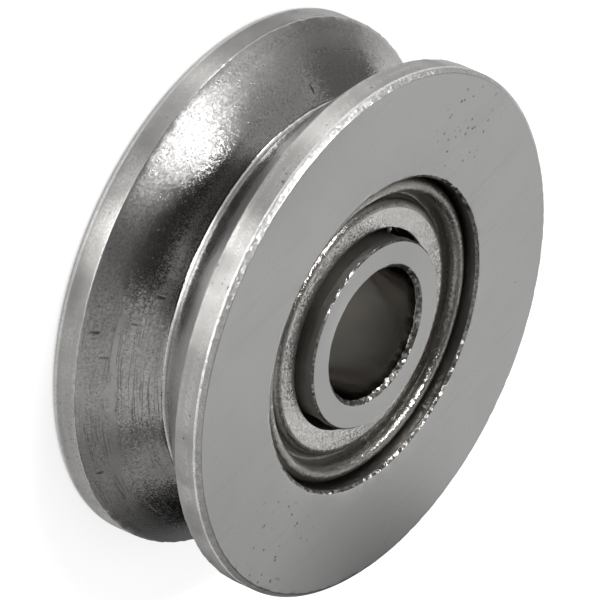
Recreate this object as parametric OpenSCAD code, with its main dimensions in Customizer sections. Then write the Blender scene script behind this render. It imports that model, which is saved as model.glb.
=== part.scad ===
// Ball-bearing guide wheel with a V groove turned into its outer ring.
// The wheel lies on its back face: the spin axis is Z, and the origin is the wheel's centre.
// All lengths are in millimetres.

/* [Wheel] */
// Outside diameter over the two rims
wheel_d = 12; // [11:0.1:16]
// Width across the side faces
wheel_w = 4; // [3.8:0.1:5]
// Included angle of the V groove, in degrees
groove_angle = 90; // [80:1:110]
// Width of the cylindrical land left on each rim
land_w = 0.64; // [0.45:0.01:0.9]
// Fillet radius at the bottom of the V groove
groove_root_r = 0.1; // [0.05:0.01:0.3]
// Chamfer on the outer edge of each side face
rim_chamfer = 0.1; // [0.02:0.01:0.2]
// Edge break where a land meets a groove flank
lip_break = 0.03; // [0.01:0.01:0.08]
// Edge break around each face recess
recess_chamfer = 0.06; // [0.02:0.01:0.12]

/* [Bore] */
// Diameter of the shaft bore
bore_d = 3; // [2:0.1:3.2]
// Chamfer at each end of the bore
bore_chamfer = 0.11; // [0.05:0.01:0.2]

/* [Ball set] */
// Number of balls
ball_count = 7; // [5:1:7]
// Diameter of one ball
ball_d = 1.588; // [1.4:0.001:1.6]
// Diameter of the circle through the ball centres
pitch_d = 5.5; // [5.4:0.01:5.6]
// Radial gap between a ball and each raceway
race_play = 0.02; // [0.01:0.005:0.05]
// Raceway curvature as a share of the ball diameter
race_conformity = 0.53; // [0.515:0.005:0.56]
// Depth of each raceway below its shoulders
race_depth = 0.22; // [0.15:0.01:0.24]

/* [Inner ring] */
// Edge break on the outside of each inner ring face
inner_chamfer = 0.04; // [0.02:0.01:0.08]
// Depth of the shoulder step below each face
inner_step_depth = 0.2; // [0.15:0.01:0.25]
// Radial height of the shoulder step
inner_step_h = 0.04; // [0.02:0.01:0.06]

/* [Shields] */
// Thickness of the shield sheet
shield_t = 0.12; // [0.08:0.01:0.14]
// Radial gap between a shield and the inner ring
shield_gap = 0.14; // [0.08:0.01:0.2]
// Depth of the flat shield plate below the wheel's face
shield_depth = 0.38; // [0.32:0.01:0.42]
// Depth of the rolled crest below the wheel's face
crest_depth = 0.22; // [0.15:0.01:0.3]
// Bend radius of the shield, to the middle of the sheet
shield_bend_r = 0.135; // [0.12:0.005:0.15]
// Radius of the recess that the shield is pressed into
recess_r = 3.55; // [3.5:0.01:3.65]
// Radial gap between the crest of the shield and the recess wall
crest_gap = 0.065; // [0.03:0.005:0.1]
// How far the shield's foot snaps in behind the recess wall
snap_h = 0.06; // [0.03:0.01:0.1]

/* [Cage] */
// Thickness of the cage strip
cage_t = 0.1; // [0.08:0.01:0.12]
// Radial width of the cage strip
cage_w = 0.66; // [0.5:0.01:0.8]
// Gap between a ball and its pocket
pocket_play = 0.04; // [0.02:0.01:0.06]
// Diameter of a rivet's shank
rivet_d = 0.22; // [0.15:0.01:0.26]
// Diameter of a rivet's heads
rivet_head_d = 0.38; // [0.3:0.01:0.42]
// Height of a rivet's heads
rivet_head_h = 0.07; // [0.04:0.01:0.09]

/* [Hidden] */
$fn = 96;

// What the cutters reach past a face
past = 1;

wheel_r = wheel_d / 2;
half_w = wheel_w / 2;
bore_r = bore_d / 2;
ball_r = ball_d / 2;
pitch_r = pitch_d / 2;
ball_step = 360 / ball_count;

// V groove: its flanks would meet at apex_r, and the fillet circle touches both of them
flank_half_angle = groove_angle / 2;
groove_half_w = half_w - land_w;
apex_r = wheel_r - groove_half_w / tan(flank_half_angle);
fillet_centre_r = apex_r + groove_root_r / sin(flank_half_angle);
fillet_touch_r = fillet_centre_r - groove_root_r * sin(flank_half_angle);
fillet_touch_z = groove_root_r * cos(flank_half_angle);
lip_r = wheel_r - lip_break * cos(flank_half_angle);
lip_z = groove_half_w - lip_break * sin(flank_half_angle);

// Raceways
race_r = ball_d * race_conformity;
inner_race_r = pitch_r - ball_r - race_play;
outer_race_r = pitch_r + ball_r + race_play;
inner_shoulder_r = inner_race_r + race_depth;
outer_shoulder_r = outer_race_r - race_depth;

// Shield: a pressed sheet, followed along the middle of its thickness from hole to foot
plate_z = half_w - shield_depth - shield_t / 2;
bend_out_r = shield_bend_r + shield_t / 2;
bend_in_r = shield_bend_r - shield_t / 2;
crest_r = recess_r - crest_gap - bend_out_r;
crest_z = half_w - crest_depth - bend_out_r;
valley_r = crest_r - 2 * shield_bend_r;
valley_z = plate_z - shield_bend_r;
shoulder_bend_r = valley_r - 2 * shield_bend_r;
foot_r = crest_r + 2 * shield_bend_r;
foot_z = crest_z - shield_bend_r;
foot_edge_r = recess_r + snap_h;
shield_hole_r = inner_shoulder_r + shield_gap;
seat_z = foot_z - bend_out_r;

// Cage
pocket_r = ball_r + pocket_play;
cage_h = pocket_r + cage_t;
cage_in_r = pitch_r - cage_w / 2;
cage_out_r = pitch_r + cage_w / 2;
rivet_r = rivet_d / 2;
rivet_head_r = rivet_head_d / 2;

// Angle of ball or rivet number i; the rivets stand halfway between the balls
function ball_at(i) = (i - 1) * ball_step;
function rivet_at(i) = (i - 0.5) * ball_step;

// Radius of the sphere that a dome of base radius r and height h is cut from
function dome_r(r, h) = (r * r + h * h) / (2 * h);

// Lays the children out twice, as they are and mirrored across the wheel's mid-plane
module both_sides() {
    children();
    mirror([0, 1]) children();
}

// A rectangle in the section plane, from radius r0 to r1 and from height z0 to z1
module box_section(r0, r1, z0, z1) {
    translate([r0, z0]) square([r1 - r0, z1 - z0]);
}

// One quarter of a bent sheet around [r, z]: the quadrant lies towards dr, dz
module bend_section(r, z, dr, dz) {
    intersection() {
        translate([r, z]) difference() {
            circle(bend_out_r);
            circle(bend_in_r);
        }
        translate([dr < 0 ? r - bend_out_r : r, dz < 0 ? z - bend_out_r : z]) square(bend_out_r);
    }
}

// What the recess, the shield's seat and the bore behind it take out of one side of the outer ring
module recess_section() {
    box_section(0, recess_r, seat_z, half_w + past);
    box_section(0, foot_edge_r, seat_z, foot_z + shield_t / 2);
    polygon([
        [recess_r, half_w - recess_chamfer], [recess_r + recess_chamfer, half_w],
        [recess_r + recess_chamfer, half_w + past], [recess_r - past, half_w + past],
        [recess_r - past, half_w - recess_chamfer]
    ]);
}

// Upper half of the outer ring's section outside its shoulder, as points from groove to face
function rim_points() = [
    [fillet_touch_r, fillet_touch_z], [lip_r, lip_z],
    [wheel_r, groove_half_w + lip_break], [wheel_r, half_w - rim_chamfer],
    [wheel_r - rim_chamfer, half_w], [outer_shoulder_r, half_w]
];

module outer_ring() {
    upper = rim_points();
    lower = [for (i = [len(upper) - 1:-1:0]) [upper[i][0], -upper[i][1]]];
    color("silver") rotate_extrude() difference() {
        polygon(concat(lower, upper));
        translate([fillet_centre_r, 0]) circle(groove_root_r);
        both_sides() recess_section();
        translate([outer_race_r - race_r, 0]) circle(race_r);
    }
}

module inner_ring() {
    step_r = inner_shoulder_r - inner_step_h;
    step_z = half_w - inner_step_depth;
    color("silver") rotate_extrude() difference() {
        polygon([
            [bore_r + bore_chamfer, -half_w], [inner_shoulder_r - inner_chamfer, -half_w],
            [inner_shoulder_r, -half_w + inner_chamfer], [inner_shoulder_r, -step_z],
            [step_r, -step_z], [step_r, step_z],
            [inner_shoulder_r, step_z], [inner_shoulder_r, half_w - inner_chamfer],
            [inner_shoulder_r - inner_chamfer, half_w], [bore_r + bore_chamfer, half_w],
            [bore_r, half_w - bore_chamfer], [bore_r, -half_w + bore_chamfer]
        ]);
        translate([inner_race_r + race_r, 0]) circle(race_r);
    }
}

// Pressed shield: flat plate, shoulder bend, valley, rolled crest and snapped-in foot
module shield() {
    half_t = shield_t / 2;
    color("lightgray") rotate_extrude() {
        box_section(shield_hole_r, shoulder_bend_r, plate_z - half_t, plate_z + half_t);
        bend_section(shoulder_bend_r, valley_z, 1, 1);
        bend_section(valley_r, valley_z, -1, -1);
        bend_section(valley_r, valley_z, 1, -1);
        box_section(valley_r + bend_in_r, valley_r + bend_out_r, valley_z, crest_z);
        bend_section(crest_r, crest_z, -1, 1);
        bend_section(crest_r, crest_z, 1, 1);
        box_section(crest_r + bend_in_r, crest_r + bend_out_r, foot_z, crest_z);
        bend_section(foot_r, foot_z, -1, -1);
        box_section(foot_r, foot_edge_r, seat_z, seat_z + shield_t);
    }
}

module front_shield() {
    shield();
}

module back_shield() {
    mirror([0, 0, 1]) shield();
}

module ball(i) {
    color("gainsboro") rotate(ball_at(i)) translate([pitch_r, 0, 0]) sphere(ball_r);
}

// One pressed half of the cage: flat webs at the mid-plane and a round pocket over each ball
module cage_half() {
    color("darkgoldenrod") difference() {
        intersection() {
            union() {
                cylinder(r = cage_out_r, h = cage_t);
                for (i = [1:ball_count])
                    rotate(ball_at(i)) translate([pitch_r, 0, 0]) sphere(pocket_r + cage_t);
            }
            difference() {
                cylinder(r = cage_out_r, h = cage_h);
                translate([0, 0, -past]) cylinder(r = cage_in_r, h = cage_h + 2 * past);
            }
        }
        for (i = [1:ball_count]) {
            rotate(ball_at(i)) translate([pitch_r, 0, 0]) sphere(pocket_r);
            rotate(rivet_at(i)) translate([pitch_r, 0, -past]) cylinder(r = rivet_r, h = 2 * past);
        }
    }
}

module cage_front() {
    cage_half();
}

module cage_back() {
    mirror([0, 0, 1]) cage_half();
}

// A rivet head: a low dome that sits on the web
module rivet_head() {
    r = dome_r(rivet_head_r, rivet_head_h);
    intersection() {
        translate([0, 0, cage_t + rivet_head_h - r]) sphere(r);
        translate([0, 0, cage_t]) cylinder(r = rivet_head_d, h = rivet_head_d);
    }
}

module rivet(i) {
    color("darkgoldenrod") rotate(rivet_at(i)) translate([pitch_r, 0, 0]) {
        translate([0, 0, -cage_t]) cylinder(r = rivet_r, h = 2 * cage_t);
        rivet_head();
        mirror([0, 0, 1]) rivet_head();
    }
}

outer_ring();
inner_ring();
front_shield();
back_shield();
cage_front();
cage_back();
for (i = [1:ball_count]) {
    ball(i);
    rivet(i);
}
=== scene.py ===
"""Scene for a small V-groove guide wheel with a shielded ball bearing.

The wheel lies on its back face on a pale studio floor. Its rings and shields are turned
afresh with fine sections, soft edges and edge wear, and the balls, cage halves and rivets
are the carried-over solids with finishes of their own.
"""

from __future__ import annotations

import logging
import math
from dataclasses import dataclass, replace
from enum import Enum
from typing import ClassVar

import bpy
import numpy as np
from mathutils import Matrix, Vector

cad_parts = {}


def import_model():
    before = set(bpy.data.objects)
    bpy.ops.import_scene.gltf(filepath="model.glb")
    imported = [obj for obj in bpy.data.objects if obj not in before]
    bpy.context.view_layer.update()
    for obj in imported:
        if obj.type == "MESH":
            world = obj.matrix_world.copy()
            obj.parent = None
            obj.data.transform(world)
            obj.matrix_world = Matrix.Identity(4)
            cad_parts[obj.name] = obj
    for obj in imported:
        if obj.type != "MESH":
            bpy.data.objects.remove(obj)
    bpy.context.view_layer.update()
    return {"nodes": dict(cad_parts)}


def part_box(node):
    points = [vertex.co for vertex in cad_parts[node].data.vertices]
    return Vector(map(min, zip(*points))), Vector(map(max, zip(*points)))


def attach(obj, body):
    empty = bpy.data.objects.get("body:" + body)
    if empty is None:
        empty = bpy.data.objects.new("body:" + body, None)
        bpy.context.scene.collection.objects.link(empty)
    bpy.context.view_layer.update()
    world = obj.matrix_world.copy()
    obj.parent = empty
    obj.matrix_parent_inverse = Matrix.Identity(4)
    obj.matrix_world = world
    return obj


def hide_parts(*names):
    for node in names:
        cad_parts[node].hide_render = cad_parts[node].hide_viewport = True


LOG = logging.getLogger("guide_wheel")

MM = 0.001
MICRON = 0.000001

Triple = tuple[float, float, float]
Socket = bpy.types.NodeSocket


class Lay(Enum):
    """Which way the fine marks of a steel surface run."""

    ROUND = "turned or ground marks that run round the axis"
    STRAIGHT = "ground marks that run straight across"
    EVEN = "a pressed or blasted skin with no direction"


class Side(Enum):
    """Which face of the wheel a shield closes."""

    FRONT = 1
    BACK = -1


def toward(bearing: float, rise: float = 0.0) -> Triple:
    """Returns the direction at a bearing from the wheel's -Y side towards +X and a rise, both in degrees."""
    turn, lift = math.radians(bearing), math.radians(rise)
    return math.sin(turn) * math.cos(lift), -math.cos(turn) * math.cos(lift), math.sin(lift)


def place_object(name: str, data: bpy.types.ID) -> bpy.types.Object:
    """Puts a mesh, a lamp or a camera in the scene.

    Args:
        name: the object's name.
        data: the mesh, lamp or camera that it shows.

    Returns:
        The object.
    """
    placed = bpy.data.objects.new(name, data)
    bpy.context.scene.collection.objects.link(placed)
    return placed


# --------------------------------------------------------------------------- finishes


class Graph:
    """Lays shader nodes into one material's tree and links them."""

    NOISE_MIDDLE = 0.5

    def __init__(self, name: str) -> None:
        """Makes an empty material.

        Args:
            name: the material's name.
        """
        self.material = bpy.data.materials.new(name)
        self.material.use_nodes = True
        self.tree = self.material.node_tree
        self.tree.nodes.clear()

    def add(self, kind: str, given: dict | tuple = (), **settings: object) -> bpy.types.Node:
        """Adds one node.

        Args:
            kind: the node's type, such as Math.
            given: what its inputs take, by their names or numbers, or in order. An output is linked.
            **settings: its properties, such as operation.

        Returns:
            The new node.
        """
        node = self.tree.nodes.new("ShaderNode" + kind)
        for key, value in settings.items():
            setattr(node, key, value)
        for key, value in given.items() if isinstance(given, dict) else enumerate(given):
            if isinstance(value, Socket):
                self.tree.links.new(value, node.inputs[key])
            else:
                node.inputs[key].default_value = value
        return node

    def close(self, shader: bpy.types.Node) -> bpy.types.Material:
        """Gives the material the shader as its surface, and returns the material."""
        self.add("OutputMaterial", {"Surface": shader.outputs[0]})
        return self.material

    def maths(self, operation: str, *given: object) -> Socket:
        """Returns the result of one of Blender's sums of numbers."""
        return self.add("Math", given, operation=operation).outputs[0]

    def vector(self, operation: str, *given: object) -> Socket:
        """Returns the result of one of Blender's sums of places, where that is a place."""
        return self.add("VectorMath", given, operation=operation).outputs["Vector"]

    def scaled(self, place: object, factor: float) -> Socket:
        """Returns the place, made so many times larger."""
        return self.add("VectorMath", {0: place, "Scale": factor}, operation="SCALE").outputs["Vector"]

    def apart(self, place: object, other: object) -> Socket:
        """Returns the distance between two places."""
        return self.add("VectorMath", (place, other), operation="DISTANCE").outputs["Value"]

    def span(self, value: object, low: float, high: float, start: float = 0.0, end: float = 1.0) -> Socket:
        """Maps low to start and high to end, smoothly between the two and held beyond them."""
        given = (value, low, high, start, end)
        return self.add("MapRange", given, interpolation_type="SMOOTHSTEP").outputs[0]

    def noise(self, place: object, scale: float, detail: float = 2.0, roughness: float = 0.5,
              depth: object = None) -> Socket:
        """Adds a cloud of smooth noise.

        Args:
            place: the coordinates to sample it at.
            scale: how many clouds there are to a unit of place.
            detail: how many finer layers it has.
            roughness: how strong the finer layers are.
            depth: a fourth coordinate, if any.

        Returns:
            The noise, about 0.5 in the middle.
        """
        given = {"Vector": place, "Scale": scale, "Detail": detail, "Roughness": roughness}
        if depth is None:
            return self.add("TexNoise", given, noise_dimensions="3D").outputs["Fac"]
        return self.add("TexNoise", given | {"W": depth}, noise_dimensions="4D").outputs["Fac"]

    def cells(self, place: object, pitch: float) -> bpy.types.Node:
        """Scatters cells of a pitch: a distance to the nearest one's middle, and its random colour."""
        return self.add("TexVoronoi", {"Vector": place, "Scale": 1.0 / pitch}, feature="F1")

    def threads(self, value: object, width: float) -> Socket:
        """Returns 1 on the thin lines where a noise crosses its middle, and 0 off them."""
        off = self.maths("ABSOLUTE", self.maths("SUBTRACT", value, self.NOISE_MIDDLE))
        return self.span(off, 0.0, width, 1.0, 0.0)

    def blend(self, share: object, first: object, second: object) -> Socket:
        """Mixes two colours, from all of the first at a share of 0 to all of the second at 1."""
        return self.add("Mix", {0: share, 6: first, 7: second}, data_type="RGBA").outputs[2]

    def facets(self, place: object, pitch: float, tilt: float) -> Socket:
        """Leans the surface at random from one grain to the next.

        Args:
            place: the coordinates of the grains.
            pitch: the size of a grain, in the units of place.
            tilt: how far the grains lean, as a share of the normal's length.

        Returns:
            The leaning normal.
        """
        chance = self.cells(place, pitch).outputs["Color"]
        lean = self.vector("MULTIPLY_ADD", chance, (2.0 * tilt,) * 3, (-tilt,) * 3)
        level = self.add("NewGeometry").outputs["Normal"]
        return self.vector("NORMALIZE", self.vector("ADD", level, lean))

    def bump(self, height: object, depth: float, under: object = None) -> Socket:
        """Turns a height into a tilted normal.

        Args:
            height: the height, from 0 to 1.
            depth: what a height of 1 stands for, in metres.
            under: the normal that this one lies on, if any.

        Returns:
            The tilted normal.
        """
        given = {"Strength": 1.0, "Distance": depth, "Height": height}
        if under is not None:
            given["Normal"] = under
        return self.add("Bump", given).outputs["Normal"]


@dataclass(frozen=True)
class Patch:
    """A stretch of the surface that is more marked than the rest.

    Attributes:
        bearing: where it is, in degrees from the wheel's -Y side towards +X.
        radius: its distance from the axis, in millimetres.
        height: its height above the wheel's middle, in millimetres.
        reach: how far it spreads, in millimetres.
    """

    bearing: float
    radius: float
    height: float
    reach: float

    def centre(self) -> Triple:
        """Returns the patch's middle, in millimetres."""
        x, y, _ = toward(self.bearing)
        return self.radius * x, self.radius * y, self.height


@dataclass(frozen=True)
class SteelFinish:
    """One bare steel surface, from its tone down to its finest marks.

    Attributes:
        name: the material's name.
        tone: the metal's colour, darkened by painted shade in some finishes and paled by a painted sheen on
            the rim.
        gloss_roughness: the roughness of its clean skin.
        stretch: how far its highlights are drawn out across the marks.
        lay: which way the marks run.
        grain: the size of the skin's grain, in millimetres.
        grain_depth: the grain's depth, in microns.
        line_pitch: the spacing of the fine marks, in millimetres.
        line_depth: the fine marks' depth, in microns.
        cloud: how much darker and rougher the dull clouds are, from 0 to 1.
        band: how much darker the broad bands along the marks are, from 0 to 1.
        band_pitch: the spacing of the bands, in millimetres.
        scratch: how dark the thin scratches along the marks are, from 0 to 1.
        scratch_pitch: the spacing of the scratches, in millimetres.
        scuffs: the stretches that are scratched, or none for the whole surface.
        speckle: how much darker the grain's hollows are, from 0 to 1.
        pit: the spacing of the pits, in millimetres.
        pit_stretch: how many times longer the pits are across the marks, or 0 for round ones.
        pit_depth: the pits' depth, in microns.
        pit_share: the share of the cells that hold a pit away from the patches.
        patches: the stretches with more pits.
        pin: the spacing of the pinholes, which are finer than the pits, in millimetres.
        pin_share: the share of the cells that hold a pinhole.
        sparkle: how far the skin's crystals lean, as a share of the normal's length.
        sparkle_pitch: the size of a crystal, in millimetres.
        worn_lip: how much rougher the groove's skin is at its lip than at its bottom.
    """

    name: str
    tone: Triple
    gloss_roughness: float
    stretch: float = 0.0
    lay: Lay = Lay.ROUND
    grain: float = 0.06
    grain_depth: float = 0.3
    line_pitch: float = 0.04
    line_depth: float = 0.2
    cloud: float = 0.15
    band: float = 0.0
    band_pitch: float = 0.3
    scratch: float = 0.0
    scratch_pitch: float = 0.16
    scuffs: tuple[Patch, ...] = ()
    speckle: float = 0.0
    pit: float = 0.3
    pit_stretch: float = 0.0
    pit_depth: float = 0.0
    pit_share: float = 0.1
    patches: tuple[Patch, ...] = ()
    pin: float = 0.09
    pin_share: float = 0.0
    sparkle: float = 0.0
    sparkle_pitch: float = 0.045
    worn_lip: float = 0.0

    def material(self) -> bpy.types.Material:
        """Returns the finish's material, made once."""
        return bpy.data.materials.get(self.name) or SteelSkin(self).build()


class SteelSkin(Graph):
    """Draws one finish in the object's own coordinates, in millimetres."""

    # Each noise's finer layers and their strength, after its clouds to a millimetre if no pitch sets them.
    GRAIN_NOISE = (3.0, 0.65)
    LINE_NOISE = (2.0, 0.7)
    BAND_NOISE = (3.0, 0.6)
    SCRATCH_NOISE = (3.0, 0.75)
    DULL_NOISE = (0.55, 4.0, 0.6)
    GAP_NOISE = (0.7, 4.0, 0.7)
    PIN_NOISE = (0.8, 3.0, 0.6)

    # The values between which a noise, a chance or a height goes from not counting to counting in full.
    HOLLOW_RANGE = (0.38, 0.66)
    DULL_RANGE = (0.42, 0.68)
    BAND_RANGE = (0.4, 0.65)
    GAP_RANGE = (0.36, 0.56)
    PIT_RANGE = (0.75, 0.8)
    PATCH_RANGE = (0.42, 0.55)
    PIN_RANGE = (1.0, 1.1)
    WEAR_RANGE = (0.35, 1.15)

    # How far a mark reaches in its cell or patch: the share that is all mark, and where it ends.
    PIT_EDGE = (0.12, 0.24)
    PIN_EDGE = (0.1, 0.38)
    PATCH_CORE = 0.3

    # The tone of a mark, a dark tone painted into pits, pinholes and scratches, and the shares of the dull
    # clouds, lines and marks in the tone and the roughness.
    MARK_TONE = 0.22
    DULL_TONE = 0.8
    DULL_ROUGHNESS = 0.3
    LINE_ROUGHNESS = 0.06
    MARK_ROUGHNESS = 0.1

    # The sizes, counts and strengths of single marks.
    SCRATCH_WIDTH = 0.018
    SCRATCHES_PER_CLOUD = 2.0
    PIT_CLOUDS = 0.35
    PIT_SHAKE = 3.0
    PIT_SHIFT = 0.35
    PIN_CROWD = 1.6
    PIN_DARKEST = 0.9
    PIN_PALEST = 0.3

    # The ways of the marks: across a straight lay, off a round one, and round the groove's drum.
    STRAIGHT_LAY = (0.6, 0.8)
    DRIFT = 0.03
    MIDDLE_R = 5.3
    QUARTER_TURN = 0.25

    def __init__(self, finish: SteelFinish) -> None:
        """Lays the coordinates and the noises that the skin's marks share.

        Args:
            finish: the finish to draw.
        """
        super().__init__(finish.name)
        self.finish = finish
        self.place = self.scaled(self.add("TexCoord").outputs["Object"], 1.0 / MM)
        x, y, self.height = self.add("SeparateXYZ", (self.place,)).outputs
        if finish.lay is Lay.STRAIGHT:
            share_x, share_y = self.STRAIGHT_LAY
            across = self.maths("MULTIPLY_ADD", y, share_y, self.maths("MULTIPLY", x, share_x))
        else:
            across = self.maths("SQRT", self.maths("MULTIPLY_ADD", y, y, self.maths("MULTIPLY", x, x)))
        drift_x, drift_y = self.maths("MULTIPLY", x, self.DRIFT), self.maths("MULTIPLY", y, self.DRIFT)
        self.along = self.add("CombineXYZ", (drift_x, drift_y, across)).outputs[0]
        self.grain = self.noise(self.place, 1.0 / finish.grain, *self.GRAIN_NOISE)
        self.lines = self.noise(self.along, 1.0 / finish.line_pitch, *self.LINE_NOISE, self.height)
        self.dull = self.span(self.noise(self.place, *self.DULL_NOISE), *self.DULL_RANGE)
        self.marks = self._marks()

    def build(self) -> bpy.types.Material:
        """Makes the material.

        Returns:
            The material, with its colour, roughness and normals from its own nodes.
        """
        given = {"Metallic": 1.0, "Anisotropic": self.finish.stretch, "Base Color": self._colour(),
                 "Roughness": self._roughness(), "Normal": self._normal()}
        if self.finish.stretch > 0.0:
            given["Anisotropic Rotation"] = self.QUARTER_TURN
            given["Tangent"] = self.add("Tangent", direction_type="RADIAL", axis="Z").outputs[0]
        return self.close(self.add("BsdfPrincipled", given))

    def _tone(self, share: float) -> tuple[float, ...]:
        """Returns the steel's tone, darkened to a share of its light."""
        return *(part * share for part in self.finish.tone), 1.0

    def _colour(self) -> Socket:
        """Darkens the clean tone with dull clouds, hollows, bands and marks.

        Returns:
            The colour.
        """
        finish = self.finish
        dull = self.maths("MULTIPLY", self.dull, self.DULL_TONE)
        colour = self.blend(dull, self._tone(1.0), self._tone(1.0 - finish.cloud))
        if finish.speckle > 0.0:
            hollows = self.span(self.grain, *self.HOLLOW_RANGE)
            colour = self.blend(hollows, colour, self._tone(1.0 - finish.speckle))
        if finish.band > 0.0:
            bands = self.noise(self.along, 1.0 / finish.band_pitch, *self.BAND_NOISE, self.height)
            colour = self.blend(self.span(bands, *self.BAND_RANGE), colour, self._tone(1.0 - finish.band))
        return self.blend(self.marks, colour, self._tone(self.MARK_TONE))

    def _roughness(self) -> Socket:
        """Roughens the clean skin with dull clouds, lines, the worn lip and marks.

        Returns:
            The roughness.
        """
        finish = self.finish
        clouded = self.DULL_ROUGHNESS * finish.cloud
        rough = self.maths("MULTIPLY_ADD", self.dull, clouded, finish.gloss_roughness)
        rough = self.maths("SUBTRACT", rough, self.LINE_ROUGHNESS / 2.0)
        rough = self.maths("MULTIPLY_ADD", self.lines, self.LINE_ROUGHNESS, rough)
        if finish.worn_lip > 0.0:
            wear = self.span(self.maths("ABSOLUTE", self.height), *self.WEAR_RANGE, 0.0, finish.worn_lip)
            rough = self.maths("ADD", rough, wear)
        return self.maths("MULTIPLY_ADD", self.marks, self.MARK_ROUGHNESS, rough)

    def _normal(self) -> Socket:
        """Tilts the surface with its crystals, grain, lines and marks.

        Returns:
            The normal.
        """
        finish = self.finish
        crystals = None
        if finish.sparkle > 0.0:
            crystals = self.facets(self.place, finish.sparkle_pitch, finish.sparkle)
        normal = self.bump(self.grain, finish.grain_depth * MICRON, crystals)
        if finish.lay is not Lay.EVEN:
            normal = self.bump(self.lines, finish.line_depth * MICRON, normal)
        if finish.pit_depth > 0.0:
            normal = self.bump(self.maths("SUBTRACT", 1.0, self.marks), finish.pit_depth * MICRON, normal)
        return normal

    def _marks(self) -> Socket:
        """Gathers the dark marks.

        Returns:
            Up to 1 in a pit, a scratch or a pinhole, and 0 elsewhere.
        """
        scratches = self.maths("MULTIPLY", self._scratches(), self.finish.scratch)
        marks = self.maths("MAXIMUM", self._pits(), scratches)
        return self.maths("MAXIMUM", marks, self._pins()) if self.finish.pin_share > 0.0 else marks

    def _scratches(self) -> Socket:
        """Draws thin broken scratches along the marks.

        Returns:
            1 in a scratch and 0 outside it.
        """
        scale = 1.0 / (self.SCRATCHES_PER_CLOUD * self.finish.scratch_pitch)
        threads = self.noise(self.along, scale, *self.SCRATCH_NOISE, self.height)
        broken = self.span(self.noise(self.place, *self.GAP_NOISE), *self.GAP_RANGE)
        drawn = self.maths("MULTIPLY", self.threads(threads, self.SCRATCH_WIDTH), broken)
        if not self.finish.scuffs:
            return drawn
        inside: object = 0.0
        for scuff in self.finish.scuffs:
            inside = self.maths("MAXIMUM", inside, self._near(scuff))
        return self.maths("MULTIPLY", drawn, inside)

    def _near(self, patch: Patch) -> Socket:
        """Returns 1 in the middle of a patch and 0 outside it."""
        away = self.apart(self.place, patch.centre())
        return self.span(away, self.PATCH_CORE * patch.reach, patch.reach, 1.0, 0.0)

    def _pits(self) -> object:
        """Scatters the pits.

        Returns:
            1 in a pit and 0 outside it.
        """
        finish = self.finish
        if finish.pit_depth <= 0.0:
            return 0.0
        place = self._shaken(self._unrolled() if finish.pit_stretch > 0.0 else self.place)
        pit = self.span(self.cells(place, finish.pit).outputs["Distance"], *self.PIT_EDGE, 1.0, 0.0)
        chance = self.noise(self.place, self.PIT_CLOUDS / finish.pit, 1.0)
        level = self.span(chance, *(edge - 0.5 * finish.pit_share for edge in self.PIT_RANGE))
        for patch in finish.patches:
            inside = self.maths("MULTIPLY", self._near(patch), self.span(chance, *self.PATCH_RANGE))
            level = self.maths("MAXIMUM", level, inside)
        return self.maths("MULTIPLY", pit, level)

    def _pins(self) -> Socket:
        """Scatters fine pinholes, denser in some places than in others.

        Returns:
            Up to 1 in a pinhole and 0 outside it.
        """
        cells = self.cells(self.place, self.finish.pin)
        choice, strength, _ = self.add("SeparateXYZ", (cells.outputs["Color"],)).outputs
        crowd = self.noise(self.place, *self.PIN_NOISE)
        crowd = self.maths("MULTIPLY_ADD", crowd, self.PIN_CROWD, -0.5 * self.PIN_CROWD)
        limits = (edge - self.finish.pin_share for edge in self.PIN_RANGE)
        chosen = self.span(self.maths("ADD", choice, crowd), *limits)
        spot = self.span(cells.outputs["Distance"], *self.PIN_EDGE, 1.0, 0.0)
        depth = self.maths("MULTIPLY_ADD", strength, self.PIN_DARKEST - self.PIN_PALEST, self.PIN_PALEST)
        return self.maths("MULTIPLY", self.maths("MULTIPLY", spot, chosen), depth)

    def _unrolled(self) -> Socket:
        """Works out coordinates in which a round pit is long across the marks.

        Returns:
            The place on a drum of the groove's middle radius, squeezed along its axis.
        """
        flat = self.vector("MULTIPLY", self.place, (1.0, 1.0, 0.0))
        drum = self.scaled(self.vector("NORMALIZE", flat), self.MIDDLE_R)
        return self.vector("MULTIPLY_ADD", self.place, (0.0, 0.0, 1.0 / self.finish.pit_stretch), drum)

    def _shaken(self, place: Socket) -> Socket:
        """Shifts a place a little at random, so that pits are not round.

        Args:
            place: the place in millimetres.

        Returns:
            The shifted place.
        """
        pit = self.finish.pit
        shake = self.add("TexNoise", {"Vector": place, "Scale": self.PIT_SHAKE / pit}, noise_dimensions="3D")
        return self.vector("ADD", place, self.scaled(shake.outputs["Color"], self.PIT_SHIFT * pit))


WARM_STEEL = (0.62, 0.61, 0.595)
FACE_STEEL = (0.6, 0.603, 0.598)
FACE_FINISH = SteelFinish("ground_face_steel", FACE_STEEL, 0.36, lay=Lay.STRAIGHT, grain=0.05,
                          grain_depth=0.35, line_pitch=0.08, line_depth=0.1, cloud=0.06, scratch=0.05,
                          scratch_pitch=0.5, speckle=0.06, pit=0.18, pit_depth=2.0, pit_share=0.0,
                          patches=(Patch(-90.0, 4.9, 2.0, 1.5), Patch(86.0, 5.0, 2.0, 1.7)))
# The rim's tone is paler than the face's: a painted sheen on the worn rim, besides its rough, speckled wear.
RIM_FINISH = SteelFinish("worn_rim_painted_sheen", (0.74, 0.735, 0.72), 0.52, grain=0.05, grain_depth=1.5,
                         line_depth=0.1, cloud=0.3, speckle=0.2, sparkle=0.15, sparkle_pitch=0.07)
# Darker than the ring's steel: painted shade on the burred chamfers and edge breaks, whose nicks are real.
BURR_FINISH = SteelFinish("burred_edge_painted_shade", (0.5, 0.49, 0.47), 0.3, grain=0.1, grain_depth=8.0,
                          line_depth=0.1, cloud=0.3, speckle=0.6, sparkle=0.3, sparkle_pitch=0.08)
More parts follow.
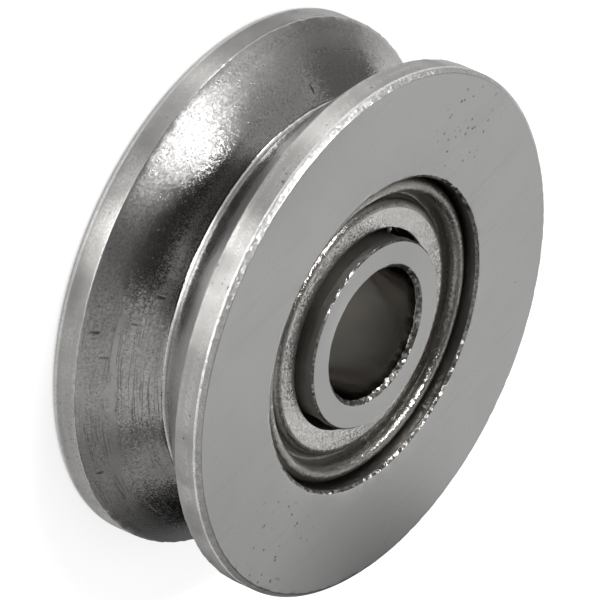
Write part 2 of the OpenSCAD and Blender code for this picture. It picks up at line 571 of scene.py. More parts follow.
# The lands' tone is darker than the face's steel: painted shade on the groove's lands.
LAND_FINISH = SteelFinish("turned_land_painted_shade", (0.54, 0.53, 0.515), 0.34, stretch=0.93, grain=0.05,
                          grain_depth=1.8, line_depth=0.3, cloud=0.45, band=0.26, band_pitch=0.2,
                          speckle=0.32, pit=0.22, pit_depth=2.0, pit_share=0.12, pin=0.1, pin_share=0.12)
FLANK_FINISH = SteelFinish("turned_groove_steel", (0.6, 0.59, 0.585), 0.15, stretch=0.2, grain_depth=1.2,
                           line_pitch=0.06, line_depth=0.06, cloud=0.26, band=0.16, scratch=0.6,
                           scratch_pitch=0.1, speckle=0.42, pit=0.2, pit_stretch=3.0, pit_depth=3.0,
                           pit_share=0.09, pin=0.06, pin_share=0.28, sparkle=0.04, sparkle_pitch=0.03,
                           worn_lip=0.18, scuffs=(Patch(38.0, 5.5, -0.85, 3.2), Patch(70.0, 5.6, -1.0, 2.0)),
                           patches=(Patch(24.0, 5.55, -0.9, 0.9), Patch(57.0, 5.7, -1.05, 0.8),
                                    Patch(77.0, 5.2, -0.5, 1.1), Patch(-25.0, 5.1, -0.44, 0.5),
                                    Patch(-61.0, 4.93, -0.3, 0.6)))
# The recess's tone is under half the face's: painted shade in the recess.
RECESS_FINISH = SteelFinish("bored_recess_painted_shade", (0.27, 0.262, 0.25), 0.28, stretch=0.4)
RACE_FINISH = SteelFinish("honed_raceway_steel", WARM_STEEL, 0.12, stretch=0.3, grain_depth=0.1,
                          line_depth=0.1)
HUB_FACE_FINISH = SteelFinish("ground_hub_face_steel", FACE_STEEL, 0.36, lay=Lay.STRAIGHT, grain=0.05,
                              grain_depth=0.35, line_pitch=0.08, cloud=0.05, speckle=0.05)
# The hub's wall has half the hub face's tone: painted shade in the gap between the hub and the shield.
HUB_WALL_FINISH = SteelFinish("ground_hub_wall_painted_shade", (0.3, 0.29, 0.275), 0.5, stretch=0.3, grain_depth=0.2)
HUB_RELIEF_FINISH = SteelFinish("unground_hub_steel", (0.42, 0.4, 0.365), 0.8, grain_depth=0.4, cloud=0.3)
# The bore's tone is darker than the ring's steel: painted shade inside the bore.
BORE_FINISH = SteelFinish("honed_bore_painted_shade", (0.46, 0.445, 0.42), 0.1, stretch=0.3, grain=0.05,
                          grain_depth=0.5, cloud=0.2)
SHIELD_FINISH = SteelFinish("matt_shield_steel", (0.86, 0.85, 0.825), 0.3, lay=Lay.EVEN, grain=0.05,
                            grain_depth=1.5, cloud=0.06, speckle=0.2, pin=0.055, pin_share=0.12,
                            sparkle=0.18, sparkle_pitch=0.026)
# The rolled rim is the plate's own sheet at half its tone: painted shade in the rim's valley and crest.
ROLL_FINISH = SteelFinish("rolled_shield_painted_shade", (0.44, 0.425, 0.4), 0.28, lay=Lay.EVEN, grain=0.05,
                          grain_depth=1.0, cloud=0.06, speckle=0.25, sparkle=0.15, sparkle_pitch=0.026)
BALL_FINISH = SteelFinish("polished_ball_steel", (0.78, 0.78, 0.79), 0.05, lay=Lay.EVEN, grain_depth=0.02,
                          cloud=0.02)
CAGE_FINISH = SteelFinish("pressed_cage_steel", (0.6, 0.57, 0.5), 0.3, lay=Lay.EVEN, grain_depth=0.4)
RIVET_FINISH = SteelFinish("rivet_steel", (0.64, 0.62, 0.58), 0.28, lay=Lay.EVEN)


# --------------------------------------------------------------------------- turning


@dataclass(frozen=True)
class Corner:
    """A corner of a turned section and the stretch that leaves it.

    Attributes:
        r: its distance from the axis, in millimetres.
        z: its height, in millimetres.
        soft: the radius that rounds it.
        step: the longest run of the stretch without a point.
        finish: which finish the stretch has.
    """

    r: float
    z: float
    soft: float
    step: float
    finish: SteelFinish


class Section:
    """A closed outline in the plane of radius and height, in millimetres."""

    SOFT_PARTS = 3
    SOFT_LIMIT = 0.4
    FLAT_STEP = 0.15
    WHOLE = 9.0
    MARGINS = (0.02, 0.1)
    MARGIN_ROOM = 4.0
    NEARLY_STRAIGHT = 0.9999
    TOO_SHORT = 1e-9

    def __init__(self) -> None:
        """Starts an empty outline."""
        self.corners: list[Corner] = []

    def to(self, r: float, z: float, finish: SteelFinish, soft: float = 0.012,
           step: float = 0.35) -> Section:
        """Adds a corner and the stretch that leaves it, and returns the section."""
        self.corners.append(Corner(r, z, soft, step, finish))
        return self

    def arc(self, centre: tuple[float, float], radius: float, start: float, end: float, parts: int,
            finish: SteelFinish) -> Section:
        """Adds a round stretch.

        Args:
            centre: the radius and height of its centre.
            radius: its radius.
            start: the angle that it starts at, in degrees from the outward direction.
            end: the angle that it ends at.
            parts: how many straight parts it has.
            finish: its finish.

        Returns:
            The section itself.
        """
        for index in range(parts + 1):
            turn = math.radians(start + (end - start) * index / parts)
            r, z = centre[0] + radius * math.cos(turn), centre[1] + radius * math.sin(turn)
            self.to(r, z, finish, 0.0, self.WHOLE)
        return self

    def mirrored(self) -> list[Corner]:
        """Returns the corners as they lie on the wheel's other side."""
        return [replace(corner, z=-corner.z) for corner in self.corners]

    def walked_back(self, finish: SteelFinish, step: float = WHOLE) -> list[Corner]:
        """Turns the corners round, so that they are walked from their other end.

        Args:
            finish: the finish of the stretch that then leaves the last of them.
            step: the longest run of that stretch without a point.

        Returns:
            The corners in the other order, each stretch with its own finish and step.
        """
        leaving = [(corner.finish, corner.step) for corner in self.corners[-2::-1]] + [(finish, step)]
        walked = zip(self.corners[::-1], leaving)
        return [replace(corner, finish=own, step=run) for corner, (own, run) in walked]

    def outline(self) -> tuple[np.ndarray, list[SteelFinish]]:
        """Rounds the corners and divides the stretches.

        Returns:
            The points' radii and heights, and the finish of the stretch that leaves each.
        """
        points: list[tuple[float, float]] = []
        finishes: list[SteelFinish] = []
        roundings = [self._rounding(index) for index in range(len(self.corners))]
        for corner, rounding, following in zip(self.corners, roundings, roundings[1:] + roundings[:1]):
            leave, arrive = np.array(rounding[-1]), np.array(following[0])
            shares = self._shares(float(np.linalg.norm(arrive - leave)), corner.step)
            points += rounding + [tuple(leave + (arrive - leave) * share) for share in shares]
            finishes += [corner.finish] * (len(points) - len(finishes))
        return np.array(points), finishes

    def _shares(self, run: float, step: float) -> list[float]:
        """Divides a stretch, with points close to both ends of a long one to keep its flat shading.

        Args:
            run: its length.
            step: the longest run without a point.

        Returns:
            The places of the points, as shares of the length.
        """
        parts = max(1, math.ceil(run / step))
        shares = [part / parts for part in range(1, parts)]
        if step >= self.FLAT_STEP:
            for margin in self.MARGINS:
                if run > self.MARGIN_ROOM * margin:
                    shares += [margin / run, 1.0 - margin / run]
        return sorted(shares)

    def _rounding(self, index: int) -> list[tuple[float, float]]:
        """Rounds one corner.

        Args:
            index: the corner's number.

        Returns:
            The points that stand for the corner.
        """
        corner = self.corners[index]
        before, after = self.corners[index - 1], self.corners[(index + 1) % len(self.corners)]
        here = np.array((corner.r, corner.z))
        back, ahead = np.array((before.r, before.z)) - here, np.array((after.r, after.z)) - here
        back_run, ahead_run = float(np.linalg.norm(back)), float(np.linalg.norm(ahead))
        if corner.soft <= 0.0 or min(back_run, ahead_run) < self.TOO_SHORT:
            return [(corner.r, corner.z)]
        cosine = float(np.clip(back @ ahead / (back_run * ahead_run), -self.NEARLY_STRAIGHT,
                               self.NEARLY_STRAIGHT))
        trim = min(corner.soft / math.tan(math.acos(cosine) / 2.0), self.SOFT_LIMIT * back_run,
                   self.SOFT_LIMIT * ahead_run)
        first, last = here + back / back_run * trim, here + ahead / ahead_run * trim
        found = []
        for part in range(self.SOFT_PARTS + 1):
            share = part / self.SOFT_PARTS
            point = first * (1 - share) ** 2 + here * 2 * share * (1 - share) + last * share**2
            found.append((float(point[0]), float(point[1])))
        return found


@dataclass(frozen=True)
class EdgeWear:
    """Small nicks and burrs along one edge of a turned piece.

    Attributes:
        r: the edge's distance from the axis, in millimetres.
        z: its height.
        inward: the way into the metal, as radius and height.
        depth: how deep the nicks are.
        reach: how far from the edge they spread.
        grain: how long one nick is.
        share: the share of the edge that is nicked.
        seed: the seed of the random nicks.
    """

    r: float
    z: float
    inward: tuple[float, float]
    depth: float
    reach: float
    grain: float
    share: float
    seed: int

    COARSE: ClassVar[float] = 0.65
    FEWEST: ClassVar[int] = 8
    NEXT_SEED: ClassVar[int] = 10

    def mirrored(self) -> EdgeWear:
        """Returns the wear of the same edge on the wheel's other side, with nicks of its own."""
        inward = (self.inward[0], -self.inward[1])
        return replace(self, z=-self.z, inward=inward, seed=self.seed + self.NEXT_SEED)

    def shift(self, points: np.ndarray, turns: np.ndarray) -> np.ndarray:
        """Works out how far the nicks move each point.

        Args:
            points: the section's points.
            turns: the places round the axis, from 0 to 1.

        Returns:
            The moves in radius and height, for each point and place.
        """
        away = np.hypot(points[:, 0] - self.r, points[:, 1] - self.z)
        near = np.exp(-((away / self.reach) ** 2))
        count = max(self.FEWEST, round(2.0 * math.pi * self.r / self.grain))
        coarse, fine = ragged(turns, count, self.seed), ragged(turns, count * 2, self.seed + 1)
        rough = self.COARSE * coarse + (1.0 - self.COARSE) * fine
        cut = np.clip((rough - (1.0 - self.share)) / self.share, 0.0, 1.0)
        return self.depth * near[:, None, None] * cut[None, :, None] * np.array(self.inward)[None, None, :]


def ragged(turns: np.ndarray, count: int, seed: int) -> np.ndarray:
    """Makes smooth random values round a circle.

    Args:
        turns: the places round the circle, from 0 to 1.
        count: how many random values there are to the turn.
        seed: the seed of the values.

    Returns:
        The value at each place, from 0 to 1.
    """
    values = np.random.default_rng(seed).random(count)
    place = turns * count
    low = np.floor(place).astype(int)
    share = place - low
    share = share * share * (3.0 - 2.0 * share)
    return values[low % count] * (1.0 - share) + values[(low + 1) % count] * share


def turn_section(name: str, section: Section, segments: int, finishes: tuple[SteelFinish, ...],
                 wear: tuple[EdgeWear, ...] = ()) -> bpy.types.Object:
    """Turns a section round the wheel's axis.

    Args:
        name: the piece's name.
        section: its outline.
        segments: how many facets there are round it.
        finishes: the finishes that its stretches have.
        wear: the wear of its edges.

    Returns:
        The piece, dressed and smooth.
    """
    points, drawn = section.outline()
    zones = np.array([finishes.index(finish) for finish in drawn])
    ahead = np.roll(points, -1, axis=0)
    if float(np.sum(points[:, 0] * ahead[:, 1] - ahead[:, 0] * points[:, 1])) < 0.0:
        points, zones = points[::-1], np.roll(zones[::-1], -1)
    turns = np.arange(segments) / segments
    grid = np.repeat(points[:, None, :], segments, axis=1)
    for edge in wear:
        grid = grid + edge.shift(points, turns)
    angle = turns * 2.0 * math.pi
    radius, height = grid[..., 0], grid[..., 1]
    places = np.stack((radius * np.cos(angle), radius * np.sin(angle), height), axis=-1) * MM
    count = len(points)
    row, column = np.meshgrid(np.arange(count), np.arange(segments), indexing="ij")
    next_row, next_column = (row + 1) % count, (column + 1) % segments
    rounds = ((row, column), (row, next_column), (next_row, next_column), (next_row, column))
    quads = np.stack([one * segments + other for one, other in rounds], axis=-1).reshape(-1, 4)
    mesh = bpy.data.meshes.new(name)
    mesh.from_pydata(places.reshape(-1, 3).tolist(), [], quads.tolist())
    mesh.polygons.foreach_set("material_index", np.repeat(zones, segments).astype(np.int32))
    mesh.polygons.foreach_set("use_smooth", np.ones(len(quads), dtype=bool))
    for finish in finishes:
        mesh.materials.append(finish.material())
    mesh.update()
    return place_object(name, mesh)


# --------------------------------------------------------------------------- the wheel


RACE_PARTS = 8


def race_spread(race_r: float, gap: float) -> float:
    """Returns the angle from a raceway's middle to its end, with its centre a gap off the shoulder."""
    return math.degrees(math.acos(gap / race_r))


@dataclass
class Shield:
    """The pressed sheet shield that closes one side of the bearing, in millimetres."""

    side: Side
    half_w: float
    foot_edge_r: float
    hole_r: float = 2.296
    sheet: float = 0.12
    depth: float = 0.38
    crest_depth: float = 0.22
    bend_r: float = 0.135
    crest_r: float = 3.29
    hole_soft: float = 0.02
    foot_soft: float = 0.01
    plate_step: float = 0.08
    segments: int = 512
    bend_parts: int = 9

    @classmethod
    def from_frame(cls, side: Side) -> Shield:
        """Reads the wheel's width and the shield's reach off the frame."""
        return cls(side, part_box("outer_ring")[1].z / MM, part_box("front_shield")[1].x / MM)

    @property
    def outer_bend(self) -> float:
        """Returns the outer radius of each bend."""
        return self.bend_r + self.sheet / 2.0

    @property
    def foot_z(self) -> float:
        """Returns the height of the foot's bend centre."""
        return self.half_w - self.crest_depth - self.outer_bend - self.bend_r

    @property
    def seat_z(self) -> float:
        """Returns the height of the ledge that the foot stands on."""
        return self.foot_z - self.outer_bend

    def section(self) -> Section:
        """Draws the sheet's section, upper skin first and then back along the lower one.

        Returns:
            The section of the front shield, with a matt plate and a rolled rim.
        """
        outer, inner, parts = self.outer_bend, self.bend_r - self.sheet / 2.0, self.bend_parts
        top = self.half_w - self.depth
        low = top - self.sheet
        crest = (self.crest_r, self.half_w - self.crest_depth - outer)
        foot = (self.crest_r + 2.0 * self.bend_r, self.foot_z)
        valley = (self.crest_r - 2.0 * self.bend_r, top - self.sheet / 2.0 - self.bend_r)
        shoulder = (valley[0] - 2.0 * self.bend_r, valley[1])
        section = Section().to(self.hole_r, low, SHIELD_FINISH, self.hole_soft)
        section.to(self.hole_r, top, SHIELD_FINISH, self.hole_soft, self.plate_step)
        section.arc(shoulder, outer, 90.0, 0.0, parts, ROLL_FINISH)
        section.arc(valley, inner, 180.0, 360.0, 2 * parts, ROLL_FINISH)
        section.arc(crest, outer, 180.0, 0.0, 2 * parts, ROLL_FINISH)
        section.arc(foot, inner, 180.0, 270.0, parts // 2, ROLL_FINISH)
        section.to(self.foot_edge_r, self.seat_z + self.sheet, ROLL_FINISH, self.foot_soft)
        section.to(self.foot_edge_r, self.seat_z, ROLL_FINISH, self.foot_soft)
        section.arc(foot, outer, 270.0, 180.0, parts // 2, ROLL_FINISH)
        section.arc(crest, inner, 0.0, 180.0, parts, ROLL_FINISH)
        section.arc(valley, outer, 360.0, 180.0, parts, ROLL_FINISH)
        return section.arc(shoulder, inner, 0.0, 90.0, parts // 2, SHIELD_FINISH)

    def build(self) -> bpy.types.Object:
        """Turns the shield and gives it to the wheel.

        Returns:
            The shield.
        """
        section = self.section()
        if self.side is Side.BACK:
            section.corners = section.mirrored()
        name = f"{self.side.name.lower()}_shield_skin"
        piece = turn_section(name, section, self.segments, (SHIELD_FINISH, ROLL_FINISH))
        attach(piece, "wheel")
        if self.side is Side.FRONT:
            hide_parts("front_shield")
        else:
            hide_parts("back_shield")
        return piece


@dataclass
class OuterRing:
    """The thick outer ring with the V groove, in millimetres."""

    wheel_r: float
    half_w: float
    shield: Shield
    land_w: float = 0.64
    flank_angle: float = 45.0
    root_r: float = 0.1
    root_parts: int = 6
    rim_chamfer: float = 0.1
    rim_soft: float = 0.035
    rim_w: float = 0.16
    lip_soft: float = 0.05
    recess_r: float = 3.55
    recess_chamfer: float = 0.06
    mouth_soft: float = 0.015
    seat_soft: float = 0.01
    shoulder_r: float = 3.344
    race_r: float = 0.842
    race_bottom_r: float = 3.564
    segments: int = 640
    wall_step: float = 0.12
    face_step: float = 0.5
    land_step: float = 0.15
    flank_step: float = 0.1

    FINISHES: ClassVar[tuple[SteelFinish, ...]] = (FACE_FINISH, LAND_FINISH, FLANK_FINISH, RECESS_FINISH,
                                                   RACE_FINISH, RIM_FINISH, BURR_FINISH)

    @classmethod
    def from_frame(cls, shield: Shield) -> OuterRing:
        """Reads the wheel's radius and width off the frame, for a ring round the shield."""
        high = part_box("outer_ring")[1]
        return cls(high.x / MM, high.z / MM, shield)

    @property
    def lip_z(self) -> float:
        """Returns the height of the groove's lip."""
        return self.half_w - self.land_w

    @property
    def rim_r(self) -> float:
        """Returns the radius of the face's outer edge."""
        return self.wheel_r - self.rim_chamfer

    @property
    def mouth_r(self) -> float:
        """Returns the radius of the face's inner edge, at the recess."""
        return self.recess_r + self.recess_chamfer

    def section(self) -> Section:
        """Draws the ring's section, from the raceway round the back face, the groove and the front face.

        Returns:
            The section.
        """
        slope = math.radians(self.flank_angle)
        root_centre = self.wheel_r - self.lip_z / math.tan(slope) + self.root_r / math.sin(slope)
        race_centre = self.race_bottom_r - self.race_r
        spread = race_spread(self.race_r, self.shoulder_r - race_centre)
        front = self._front_half()
        section = Section().arc((race_centre, 0.0), self.race_r, spread, -spread, RACE_PARTS, RACE_FINISH)
        section.corners += front.mirrored()
        section.arc((root_centre, 0.0), self.root_r, 180.0 + self.flank_angle, 180.0 - self.flank_angle,
                    self.root_parts, FLANK_FINISH)
        section.corners += front.walked_back(RACE_FINISH)
        return section

    def _front_half(self) -> Section:
        """Draws the front half, from the raceway's shoulder round the face to the groove's lip.

        Returns:
            The open outline.
        """
        seat_z, snap_r = self.shield.seat_z, self.shield.foot_edge_r
        ledge_z = self.shield.foot_z + self.shield.sheet / 2.0
        half = Section().to(self.shoulder_r, seat_z, RECESS_FINISH, 2.0 * self.seat_soft)
        half.to(snap_r, seat_z, RECESS_FINISH, self.seat_soft)
        half.to(snap_r, ledge_z, RECESS_FINISH, self.seat_soft)
        half.to(self.recess_r, ledge_z, RECESS_FINISH, self.seat_soft, self.wall_step)
        half.to(self.recess_r, self.half_w - self.recess_chamfer, BURR_FINISH, 2.0 * self.seat_soft)
        half.to(self.mouth_r, self.half_w, FACE_FINISH, self.mouth_soft, self.face_step)
        half.to(self.rim_r, self.half_w, RIM_FINISH, self.rim_soft)
        half.to(self.wheel_r, self.half_w - self.rim_chamfer, RIM_FINISH, self.rim_soft)
        half.to(self.wheel_r, self.half_w - self.rim_w, LAND_FINISH, 0.0, self.land_step)
        return half.to(self.wheel_r, self.lip_z, FLANK_FINISH, self.lip_soft, self.flank_step)

    def wear(self) -> tuple[EdgeWear, ...]:
        """Lists the wear of the ring's edges.

        Returns:
            Nicks along the groove's lips, the rims and the recess.
        """
        front = (
            EdgeWear(self.wheel_r, self.lip_z, inward=(-1.0, 0.4), depth=0.018, reach=0.04,
                     grain=0.14, share=0.7, seed=11),
            EdgeWear(self.rim_r, self.half_w, inward=(-0.7, -0.7), depth=0.012, reach=0.035,
                     grain=0.14, share=0.6, seed=13),
            EdgeWear(self.mouth_r, self.half_w, inward=(0.8, -0.6), depth=0.028, reach=0.04,
                     grain=0.16, share=0.7, seed=15),
        )
        return front + tuple(edge.mirrored() for edge in front)

    def build(self) -> bpy.types.Object:
        """Turns the ring and gives it to the wheel.

        Returns:
            The ring.
        """
        piece = turn_section("outer_ring_turned", self.section(), self.segments, self.FINISHES, self.wear())
        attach(piece, "wheel")
        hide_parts("outer_ring")
        return piece


@dataclass
class InnerRing:
    """The inner ring that stands on the shaft, in millimetres."""

    outside_r: float
    half_w: float
    bore_r: float = 1.5
    bore_chamfer: float = 0.11
    bore_soft: float = 0.02
    bore_step: float = 0.12
    edge_break: float = 0.04
    edge_soft: float = 0.015
    step_depth: float = 0.2
    step_h: float = 0.04
    step_soft: float = 0.01
    race_r: float = 0.842
    race_bottom_r: float = 1.936
    segments: int = 480

    FINISHES: ClassVar[tuple[SteelFinish, ...]] = (HUB_FACE_FINISH, HUB_WALL_FINISH, BORE_FINISH,
                                                   RACE_FINISH, BURR_FINISH, HUB_RELIEF_FINISH)

    @classmethod
    def from_frame(cls) -> InnerRing:
        """Reads the ring's radius and width off the frame."""
        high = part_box("inner_ring")[1]
        return cls(high.x / MM, high.z / MM)

    def section(self) -> Section:
        """Draws the ring's section, from the bore round the back face, the raceway and the front face.

        Returns:
            The section.
        """
        race_centre = self.race_bottom_r + self.race_r
        spread = race_spread(self.race_r, race_centre - (self.outside_r - self.step_h))
        front = self._front_half()
        section = Section()
        section.corners += front.mirrored()
        section.arc((race_centre, 0.0), self.race_r, 180.0 + spread, 180.0 - spread, RACE_PARTS, RACE_FINISH)
        section.corners[-1] = replace(section.corners[-1], finish=HUB_RELIEF_FINISH)
        section.corners += front.walked_back(BORE_FINISH, self.bore_step)
        return section

    def _front_half(self) -> Section:
        """Draws the front half, from the bore round the face to the raceway's shoulder.

        Returns:
            The open outline.
        """
        step_z, step_r = self.half_w - self.step_depth, self.outside_r - self.step_h
        half = Section().to(self.bore_r, self.half_w - self.bore_chamfer, BURR_FINISH, self.bore_soft,
                            self.bore_step)
        half.to(self.bore_r + self.bore_chamfer, self.half_w, HUB_FACE_FINISH, self.edge_soft, step=0.2)
        half.to(self.outside_r - self.edge_break, self.half_w, BURR_FINISH, self.edge_soft, step=0.1)
        half.to(self.outside_r, self.half_w - self.edge_break, HUB_WALL_FINISH, self.edge_soft, step=0.08)
        half.to(self.outside_r, step_z, HUB_RELIEF_FINISH, self.step_soft, step=0.1)
        return half.to(step_r, step_z, HUB_RELIEF_FINISH, self.step_soft, step=0.2)

    def wear(self) -> tuple[EdgeWear, ...]:
        """Lists the wear of the ring's edges.

        Returns:
            Burrs along both edges of the bore's chamfers.
        """
        front = (
            EdgeWear(self.bore_r, self.half_w - self.bore_chamfer, inward=(0.7, 0.7), depth=0.035,
                     reach=0.05, grain=0.09, share=0.9, seed=41),
            EdgeWear(self.bore_r + self.bore_chamfer, self.half_w, inward=(0.7, -0.5), depth=0.012,
                     reach=0.03, grain=0.12, share=0.7, seed=43),
        )
        return front + tuple(edge.mirrored() for edge in front)

    def build(self) -> bpy.types.Object:
        """Turns the ring and gives it to the hub.

        Returns:
            The ring.
        """
        piece = turn_section("inner_ring_turned", self.section(), self.segments, self.FINISHES, self.wear())
        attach(piece, "hub")
        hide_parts("inner_ring")
        return piece


@dataclass
class BallSet:
    """The balls, cage halves and rivets, which keep their carried-over solids."""

    nodes: dict[str, bpy.types.Object]

    FINISHES: ClassVar[dict[str, SteelFinish]] = {"ball": BALL_FINISH, "cage": CAGE_FINISH,
                                                  "rivet": RIVET_FINISH}

    def dress(self) -> list[str]:
        """Gives each solid of the ball set its finish.

        Returns:
            The names of the solids that were dressed.
        """
        dressed = []
        for name, solid in self.nodes.items():
            finish = self.FINISHES.get(name.split("_")[0])
            if finish is None:
                continue
            solid.data.materials.clear()
            solid.data.materials.append(finish.material())
            dressed.append(name)
        return dressed


# --------------------------------------------------------------------------- the studio


@dataclass(frozen=True)
class Lamp:
    """A soft rectangular lamp that faces the wheel.

    Attributes:
        name: its name.
        bearing: where it hangs, in degrees from the wheel's -Y side towards +X.
        rise: its height, in degrees above the level of the wheel's middle.
        width: its width, in metres.
        height: its height, in metres.
        glow: how bright its face is, where 1 is white.
    """

    name: str
    bearing: float
    rise: float
    width: float
    height: float
    glow: float

    DISTANCE: ClassVar[float] = 0.4

    def build(self) -> bpy.types.Object:
        """Hangs the lamp.

        Returns:
            The lamp.
        """
        data = bpy.data.lights.new(self.name, "AREA")
        data.shape = "RECTANGLE"
        data.size, data.size_y = self.width, self.height
        data.energy = self.glow * math.pi * self.width * self.height
        back = Vector(toward(self.bearing, self.rise))
        lamp = place_object(self.name, data)
        lamp.location = back * self.DISTANCE
        lamp.rotation_mode = "QUATERNION"
        lamp.rotation_quaternion = back.to_track_quat("Z", "Y")
        return lamp


@dataclass(frozen=True)
class Pool:
    """A spot lamp above the floor that brightens one round place on it.

    Attributes:
        name: its name.
        bearing: where the place is, in degrees from the wheel's -Y side towards +X.
        radius: its middle's distance from the wheel's axis, in metres.
        reach: its own radius, in metres.
        glow: how much light it adds, where 1 makes a white card white.
    """

    name: str
    bearing: float
    radius: float
    reach: float
    glow: float

    DROP: ClassVar[float] = 0.15
    SOFT_EDGE: ClassVar[float] = 0.5

    def build(self, floor_height: float) -> bpy.types.Object:
        """Hangs the lamp.

        Args:
            floor_height: the floor's height, in metres.

        Returns:
            The lamp.
        """
        data = bpy.data.lights.new(self.name, "SPOT")
        data.spot_size = 2.0 * math.atan(self.reach / self.DROP)
        data.spot_blend = self.SOFT_EDGE
        data.shadow_soft_size = 0.0
        data.energy = self.glow * 4.0 * math.pi**2 * self.DROP**2
        x, y, _ = toward(self.bearing)
        lamp = place_object(self.name, data)
        lamp.location = (self.radius * x, self.radius * y, floor_height + self.DROP)
        return lamp


def flat_sheet(name: str, corners: list[Triple], material: bpy.types.Material) -> bpy.types.Object:
    """Makes a flat sheet with four corners.

    Args:
        name: its name.
        corners: its corners in order, in metres.
        material: what it is made of.

    Returns:
        The sheet.
    """
    mesh = bpy.data.meshes.new(name)
    mesh.from_pydata(corners, [], [(0, 1, 2, 3)])
    mesh.materials.append(material)
    return place_object(name, mesh)


@dataclass(frozen=True)
class Flag:
    """A black card that shades one part of the wheel, and that the camera doesn't see.

    Attributes:
        name: its name.
        corners: its four corners as x, y and height above the floor, in metres.
    """

    name: str
    corners: tuple[Triple, ...]

    CARD_NAME: ClassVar[str] = "black_flag_card"
    CARD_TONE: ClassVar[tuple[float, ...]] = (0.015, 0.015, 0.015, 1.0)

    def build(self, floor_height: float) -> bpy.types.Object:
        """Stands the card above the floor.

        Args:
            floor_height: the floor's height, in metres.

        Returns:
            The card.
        """
        corners = [(x, y, floor_height + rise) for x, y, rise in self.corners]
        flag = flat_sheet(self.name, corners, bpy.data.materials.get(self.CARD_NAME) or self._card())
        flag.visible_camera = False
        return flag

    def _card(self) -> bpy.types.Material:
        """Returns the black card's material."""
        graph = Graph(self.CARD_NAME)
        return graph.close(graph.add("BsdfDiffuse", {"Color": self.CARD_TONE}))


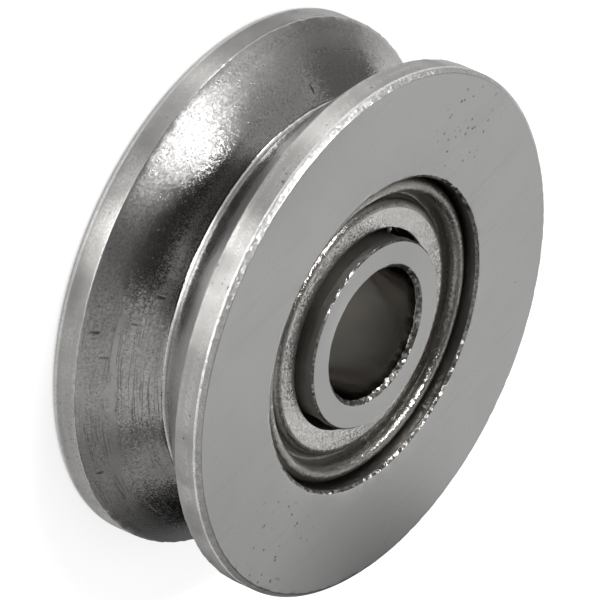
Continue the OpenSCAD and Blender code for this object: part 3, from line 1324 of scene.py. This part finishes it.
@dataclass(frozen=True)
class Studio:
    """The floor, the sky, the lamps, the cards and the camera.

    Attributes:
        floor_side: the length of the square floor's sides, in metres.
        floor_tone: how pale the floor is to the lamps, from 0 to 1.
        floor_white: how bright its own glow is to the camera.
        floor_sheen: how bright its own glow is to the steel that mirrors it.
        shade_reach: how far the wheel's soft shade on the floor reaches, in metres.
        shade_softness: how strong the shade is, where 1 is its full strength.
        shade_edge: the distances from the wheel's middle between which the shade fades out, in metres.
        painted_shade_place: the middle of the painted shade that dims the floor's mirrored glow.
        painted_shade_reach: that painted shade's radius, in metres.
        painted_shade_share: how much dimmer the mirrored glow is in the painted shade, from 0 to 1.
        sky_tone: the colour of the room's light.
        sky_glow: how bright the room's light is.
        distance: the camera's distance from the place that it looks at, in metres.
        elevation: its height, in degrees.
        roll: how far it is rolled, in degrees.
        lens: its focal length, in millimetres.
        sensor: its sensor's width, in millimetres.
        clip: the nearest and the farthest distance that it sees, in metres.
        aim: the place that it looks at.
        flags: the black cards.
        lamps: the lamps.
        pools: the pools of light on the floor.
    """

    floor_side: float = 2.0
    floor_tone: float = 0.25
    floor_white: float = 1.0
    floor_sheen: float = 0.72
    shade_reach: float = 0.006
    shade_softness: float = 0.28
    shade_edge: tuple[float, float] = (0.0066, 0.0084)
    painted_shade_place: Triple = (0.0074, 0.0040, -0.002)
    painted_shade_reach: float = 0.0040
    painted_shade_share: float = 0.9
    sky_tone: tuple[float, ...] = (1.0, 0.9, 0.8, 1.0)
    sky_glow: float = 0.03
    distance: float = 0.2346
    elevation: float = 31.046
    roll: float = 113.757
    lens: float = 660.0
    sensor: float = 36.0
    clip: tuple[float, float] = (0.01, 10.0)
    aim: Triple = (-0.000035, -0.000029, -0.000049)
    flags: tuple[Flag, ...] = (
        Flag("studio_side_flag", ((0.0058, 0.012, 0.0), (0.018, 0.012, 0.0), (0.018, 0.012, 0.0108),
                                  (0.0024, 0.012, 0.0108))),
        Flag("studio_low_flag", ((0.0048, 0.0072, 0.0), (0.013, 0.0072, 0.0), (0.013, 0.0072, 0.0024),
                                 (0.0048, 0.0072, 0.0024))),
        Flag("studio_top_flag", ((-0.0066, -0.0028, 0.0098), (-0.0014, -0.0028, 0.0098),
                                 (-0.0014, 0.0004, 0.0098), (-0.0066, 0.0004, 0.0098))),
    )
    lamps: tuple[Lamp, ...] = (
        Lamp("key_lamp", -75.0, 62.0, 0.14, 0.085, 26.0),
        Lamp("upper_low_lamp", -66.0, 6.0, 0.08, 0.06, 16.0),
        Lamp("side_low_lamp", 6.0, 6.0, 0.10, 0.06, 6.5),
        Lamp("back_low_lamp", -178.0, 7.0, 0.26, 0.12, 1.9),
        Lamp("back_high_lamp", 182.0, 42.0, 0.2, 0.18, 0.82),
        Lamp("left_high_lamp", -150.0, 38.0, 0.12, 0.26, 0.4),
        Lamp("right_low_lamp", 50.0, 8.0, 0.24, 0.12, 1.15),
        Lamp("right_lamp", 70.0, 41.0, 0.34, 0.28, 0.55),
        Lamp("left_lamp", -92.0, 34.0, 0.3, 0.28, 0.32),
        Lamp("left_back_lamp", -127.0, 17.0, 0.22, 0.2, 0.13),
        Lamp("right_high_lamp", 135.0, 57.0, 0.2, 0.18, 0.28),
        Lamp("right_back_lamp", 117.0, 24.0, 0.16, 0.16, 0.33),
    )
    pools: tuple[Pool, ...] = (
        Pool("side_pool", 4.0, 0.0108, 0.0045, 12.0),
        Pool("upper_pool", -62.0, 0.0112, 0.0042, 2.6),
        Pool("bore_pool", 0.0, 0.0007, 0.00025, 0.7),
    )

    def build_camera(self) -> bpy.types.Object:
        """Sets up the camera.

        Returns:
            The camera, which is now the scene's own.
        """
        data = bpy.data.cameras.new("studio_camera")
        data.lens, data.sensor_width = self.lens, self.sensor
        data.clip_start, data.clip_end = self.clip
        camera = place_object("studio_camera", data)
        back = Vector(toward(0.0, self.elevation))
        facing = back.to_track_quat("Z", "Y").to_matrix().to_4x4()
        rolled = facing @ Matrix.Rotation(math.radians(self.roll), 4, "Z")
        camera.matrix_world = Matrix.Translation(Vector(self.aim) + back * self.distance) @ rolled
        bpy.context.scene.camera = camera
        return camera

    def build_floor(self, height: float) -> bpy.types.Object:
        """Lays the pale floor that the wheel lies on.

        Args:
            height: the floor's height, in metres.

        Returns:
            The floor.
        """
        half = self.floor_side / 2.0
        corners = [(x * half, y * half, height) for x, y in ((-1, -1), (1, -1), (1, 1), (-1, 1))]
        floor = flat_sheet("studio_floor", corners, self._floor_card())
        return floor

    def _floor_card(self) -> bpy.types.Material:
        """Makes the floor's pale card, which the camera sees as white outside the wheel's soft shade.

        Returns:
            The floor's material.
        """
        graph = Graph("pale_floor_card")
        place = graph.add("NewGeometry").outputs["Position"]
        path = graph.add("LightPath").outputs
        open_air = graph.add("AmbientOcclusion", {"Distance": self.shade_reach}, samples=4).outputs["AO"]
        shade = graph.maths("POWER", open_air, self.shade_softness)
        clear = graph.span(graph.apart(place, (0.0, 0.0, 0.0)), *self.shade_edge)
        soft = graph.maths("MAXIMUM", shade, clear)
        white = graph.maths("MULTIPLY", path["Is Camera Ray"], self.floor_white)
        mirrored = graph.maths("MAXIMUM", path["Is Glossy Ray"], path["Is Transmission Ray"])
        sheen = graph.maths("MULTIPLY", graph.maths("MULTIPLY", mirrored, self.floor_sheen), soft)
        # A painted shade: the floor's glow, as the steel mirrors it, is dimmer in one round place beside the
        # wheel.
        inside = graph.span(graph.apart(place, self.painted_shade_place), self.painted_shade_reach, self.painted_shade_reach / 3.0)
        lit = graph.maths("SUBTRACT", 1.0, graph.maths("MULTIPLY", inside, self.painted_shade_share))
        glow = graph.maths("ADD", graph.maths("MULTIPLY", white, soft), graph.maths("MULTIPLY", sheen, lit))
        card = graph.add("BsdfDiffuse", {"Color": (self.floor_tone,) * 3 + (1.0,)})
        lift = graph.add("Emission", {"Color": (1.0, 1.0, 1.0, 1.0), "Strength": glow})
        graph.material.cycles.emission_sampling = "NONE"
        return graph.close(graph.add("AddShader", (card.outputs[0], lift.outputs[0])))

    def build_sky(self) -> bpy.types.World:
        """Fills the room with plain soft light.

        Returns:
            The world.
        """
        world = bpy.data.worlds.new("studio_sky")
        world.use_nodes = True
        sky = world.node_tree.nodes["Background"]
        sky.inputs["Color"].default_value = self.sky_tone
        sky.inputs["Strength"].default_value = self.sky_glow
        bpy.context.scene.world = world
        return world

    def build(self, floor_height: float) -> list[str]:
        """Builds the whole studio.

        Args:
            floor_height: the floor's height, in metres.

        Returns:
            The names of all that was set up.
        """
        bpy.context.scene.view_settings.view_transform = "Standard"
        made = [self.build_camera(), self.build_floor(floor_height), self.build_sky()]
        made += [flag.build(floor_height) for flag in self.flags]
        made += [lamp.build() for lamp in self.lamps]
        made += [pool.build(floor_height) for pool in self.pools]
        return [item.name for item in made]


def main() -> None:
    """Builds the wheel in its studio."""
    logging.basicConfig(level=logging.INFO, format="%(name)s: %(message)s")
    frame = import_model()
    for name in Studio().build(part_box("outer_ring")[0].z):
        LOG.info("%s: set up", name)
    front, back = Shield.from_frame(Side.FRONT), Shield.from_frame(Side.BACK)
    for maker in (OuterRing.from_frame(front), InnerRing.from_frame(), front, back):
        piece = maker.build()
        LOG.info("%s: %d faces", piece.name, len(piece.data.polygons))
    for name in BallSet(frame["nodes"]).dress():
        LOG.info("%s: finished", name)


if __name__ == "__main__":
    main()
